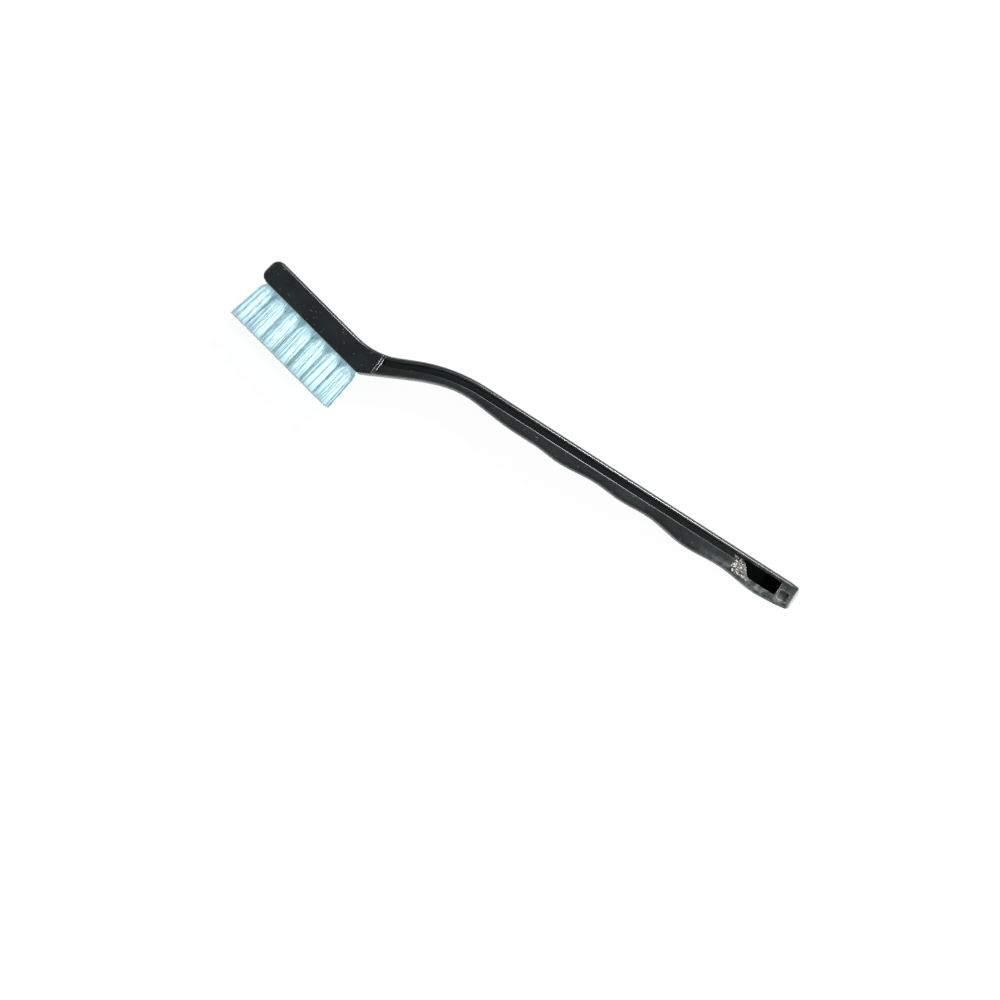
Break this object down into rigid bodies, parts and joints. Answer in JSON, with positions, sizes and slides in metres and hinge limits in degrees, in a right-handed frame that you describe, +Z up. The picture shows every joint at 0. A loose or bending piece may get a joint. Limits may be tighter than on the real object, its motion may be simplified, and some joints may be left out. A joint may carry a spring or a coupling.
{
  "type": "detail brush",
  "caption": "Small cleaning brush: one moulded handle with a straight waved grip, a bent neck and a rectangular block that carries stapled tufts of crimped filament.",
  "frame": {"origin": "middle of the block's resting side face", "axes": "+X along the grip towards its free end, +Y towards the brush's back, away from the bristles, +Z up across the brush's width as it lies on its side"},
  "size_m": [0.1761, 0.029, 0.0127],
  "materials": {
    "handle_plastic": "near-black moulded polypropylene, satin with a fine moulded grain",
    "bristle_nylon": "pale icy-blue nylon filament, slightly clear, crimped",
    "anchor_wire": "flat bright wire"
  },
  "bodies": {
    "root": {"handle": "handle_plastic", "anchor_staples": "anchor_wire", "upper_tuft_1": "bristle_nylon", "upper_tuft_2": "bristle_nylon", "upper_tuft_3": "bristle_nylon", "upper_tuft_4": "bristle_nylon", "upper_tuft_5": "bristle_nylon", "upper_tuft_6": "bristle_nylon", "upper_tuft_7": "bristle_nylon", "middle_tuft_1": "bristle_nylon", "middle_tuft_2": "bristle_nylon", "middle_tuft_3": "bristle_nylon", "middle_tuft_4": "bristle_nylon", "middle_tuft_5": "bristle_nylon", "middle_tuft_6": "bristle_nylon", "lower_tuft_1": "bristle_nylon", "lower_tuft_2": "bristle_nylon", "lower_tuft_3": "bristle_nylon", "lower_tuft_4": "bristle_nylon", "lower_tuft_5": "bristle_nylon", "lower_tuft_6": "bristle_nylon", "lower_tuft_7": "bristle_nylon"}
  },
  "joints": []
}
